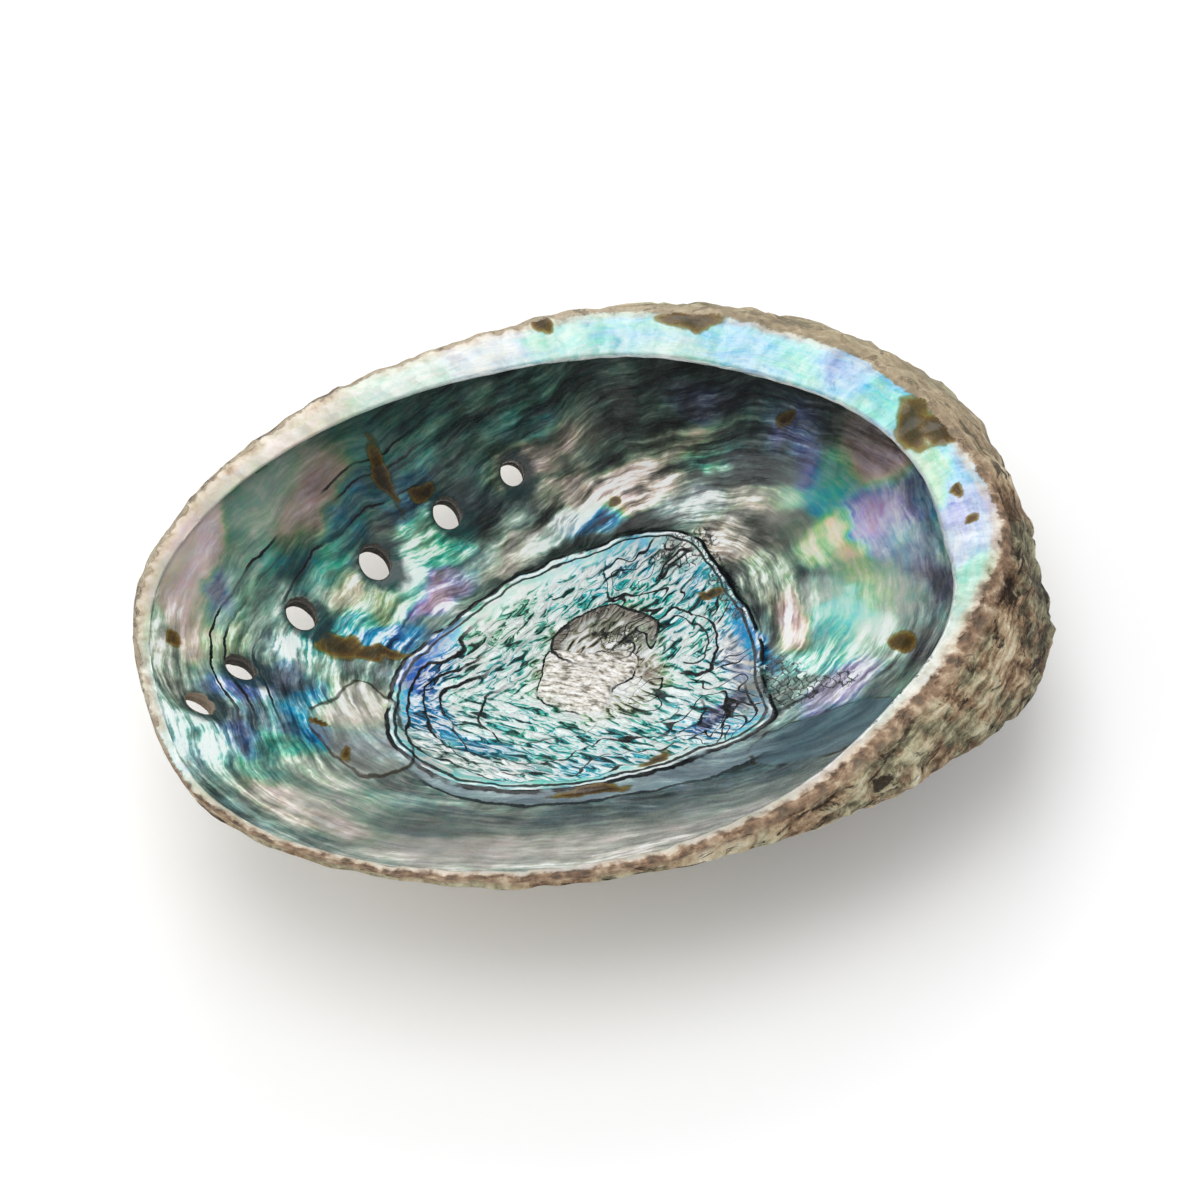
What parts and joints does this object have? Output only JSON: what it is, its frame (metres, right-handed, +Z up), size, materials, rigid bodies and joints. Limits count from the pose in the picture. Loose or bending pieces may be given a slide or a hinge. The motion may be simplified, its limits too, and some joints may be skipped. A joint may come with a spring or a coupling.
{
  "type": "abalone shell",
  "caption": "Whole abalone shell resting on its back: an oval, pearly bowl with a flat inner lip, a line of breathing pores and a rough crusted outside.",
  "frame": {"origin": "on the worn flat of the shell's back, under the deepest point of the hollow", "axes": "+X along the shell towards the spire end, +Y towards the row of pores, +Z up out of the hollow"},
  "size_m": [0.155, 0.1151, 0.0371],
  "materials": {
    "shell": "pearly nacre inside in teal, mint, lavender and cream, rough tan and brown crust outside"
  },
  "bodies": {
    "root": {"abalone_shell": "shell"}
  },
  "joints": []
}
